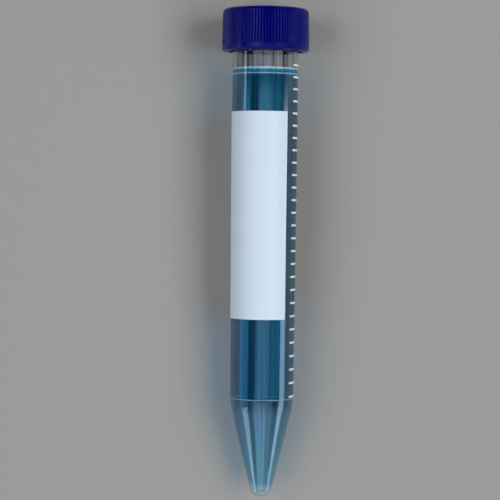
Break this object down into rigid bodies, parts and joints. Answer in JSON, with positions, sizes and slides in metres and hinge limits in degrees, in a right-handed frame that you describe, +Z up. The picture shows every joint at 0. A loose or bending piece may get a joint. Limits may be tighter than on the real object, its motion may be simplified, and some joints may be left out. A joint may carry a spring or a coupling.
{
  "type": "15 ml conical tube",
  "caption": "Clear conical-bottomed laboratory tube with a ribbed blue screw cap, holding blue liquid, with a white write-on label and a volume scale, lying on its side.",
  "frame": {"origin": "on the floor under the middle of the closed tube lying on its side: the bottom centre of its bounding box", "axes": "+Y along the tube from its tip towards its cap, +Z up from the floor, +X to the side that carries the volume scale"},
  "size_m": [0.0216, 0.1202, 0.0216],
  "materials": {
    "clear_plastic": "clear moulded polystyrene, smooth and glossy",
    "cap_plastic": "dark royal blue moulded polyethylene, satin to glossy",
    "seal": "off-white soft elastomer, matt",
    "liquid": "clear blue liquid, stands in as a solid",
    "label": "white coated label, satin"
  },
  "bodies": {
    "tube": {"tube_body": "clear_plastic", "liquid": "liquid", "write_on_label": "label"},
    "seal": {"seal_disc": "seal"},
    "cap": {"screw_cap": "cap_plastic"}
  },
  "joints": [
    {"name": "cap_lift", "type": "slide", "parent": "tube", "child": "seal", "axis": [0, 0.9994, 0.0337], "range_m": [0, 0.0045]},
    {"name": "cap_turn", "type": "hinge", "parent": "seal", "child": "cap", "pos_m": [0, 0.05381, 0.01089], "axis": [0, 0.9994, 0.0337], "range_deg": [0, 540]}
  ],
  "couplings": [
    {"joint": "cap_lift", "follows": "cap_turn", "m_per_rad": 0.00047746}
  ]
}
